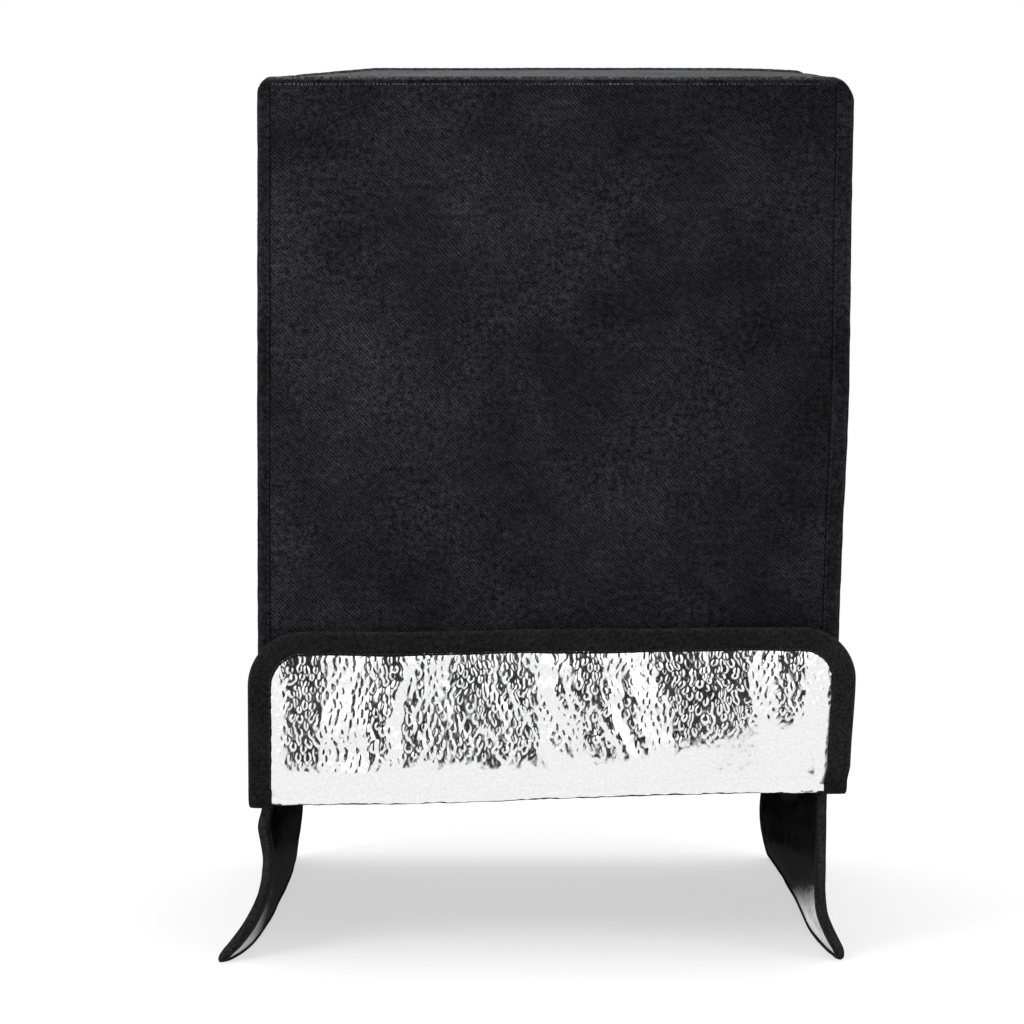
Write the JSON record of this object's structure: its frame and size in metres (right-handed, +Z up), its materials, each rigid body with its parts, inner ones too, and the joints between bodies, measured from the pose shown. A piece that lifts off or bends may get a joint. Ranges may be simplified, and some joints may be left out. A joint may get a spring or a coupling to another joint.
{
  "type": "printer enclosure tent",
  "caption": "Tall black soft box cover for a desktop resin printer, foil lined, open at the bottom, with tape-bound fold-up flaps round the base.",
  "frame": {"origin": "centre of the footprint, on the floor that the side flaps stand on", "axes": "+Z up; the front wall, whose flap is folded up at rest, faces -Y; +X is to the right seen from the front"},
  "size_m": [0.303, 0.3134, 0.45],
  "materials": {
    "outer_fabric": "black woven polyester with a fine diagonal twill, matt with a slight sheen",
    "foam_core": "thin closed-cell foam sheet",
    "foil_lining": "bright embossed aluminised film",
    "binding_tape": "black ribbed polyester ribbon, stitched",
    "seam_tape": "black ribbed polyester ribbon, stitched"
  },
  "bodies": {
    "tent_body": {"top_panel_fabric": "outer_fabric", "top_panel_core": "foam_core", "top_panel_foil": "foil_lining", "top_edge_tape": "seam_tape", "front_wall_fabric": "outer_fabric", "front_wall_core": "foam_core", "front_wall_foil": "foil_lining", "back_wall_fabric": "outer_fabric", "back_wall_core": "foam_core", "back_wall_foil": "foil_lining", "left_wall_fabric": "outer_fabric", "left_wall_core": "foam_core", "left_wall_foil": "foil_lining", "right_wall_fabric": "outer_fabric", "right_wall_core": "foam_core", "right_wall_foil": "foil_lining", "front_left_corner_tape": "seam_tape", "front_right_corner_tape": "seam_tape", "back_left_corner_tape": "seam_tape", "back_right_corner_tape": "seam_tape"},
    "front_flap": {"front_flap_fabric": "outer_fabric", "front_flap_core": "foam_core", "front_flap_foil": "foil_lining", "front_flap_binding": "binding_tape"},
    "back_flap": {"back_flap_fabric": "outer_fabric", "back_flap_core": "foam_core", "back_flap_foil": "foil_lining", "back_flap_binding": "binding_tape"},
    "left_flap": {"left_flap_fabric": "outer_fabric", "left_flap_core": "foam_core", "left_flap_foil": "foil_lining", "left_flap_binding": "binding_tape"},
    "right_flap": {"right_flap_fabric": "outer_fabric", "right_flap_core": "foam_core", "right_flap_foil": "foil_lining", "right_flap_binding": "binding_tape"}
  },
  "joints": [
    {"name": "front_flap_fold", "type": "hinge", "parent": "tent_body", "child": "front_flap", "pos_m": [0, -0.1505, 0.087], "axis": [1, 0, 0], "range_deg": [0, 180]},
    {"name": "back_flap_fold", "type": "hinge", "parent": "tent_body", "child": "back_flap", "pos_m": [0, 0.1505, 0.087], "axis": [-1, 0, 0], "range_deg": [0, 180]},
    {"name": "left_flap_fold", "type": "hinge", "parent": "tent_body", "child": "left_flap", "pos_m": [-0.1505, 0, 0.087], "axis": [0, 1, 0], "range_deg": [-15, 165], "stiffness_Nm_per_rad": 0.8},
    {"name": "right_flap_fold", "type": "hinge", "parent": "tent_body", "child": "right_flap", "pos_m": [0.1505, 0, 0.087], "axis": [0, -1, 0], "range_deg": [-15, 165], "stiffness_Nm_per_rad": 0.8}
  ]
}
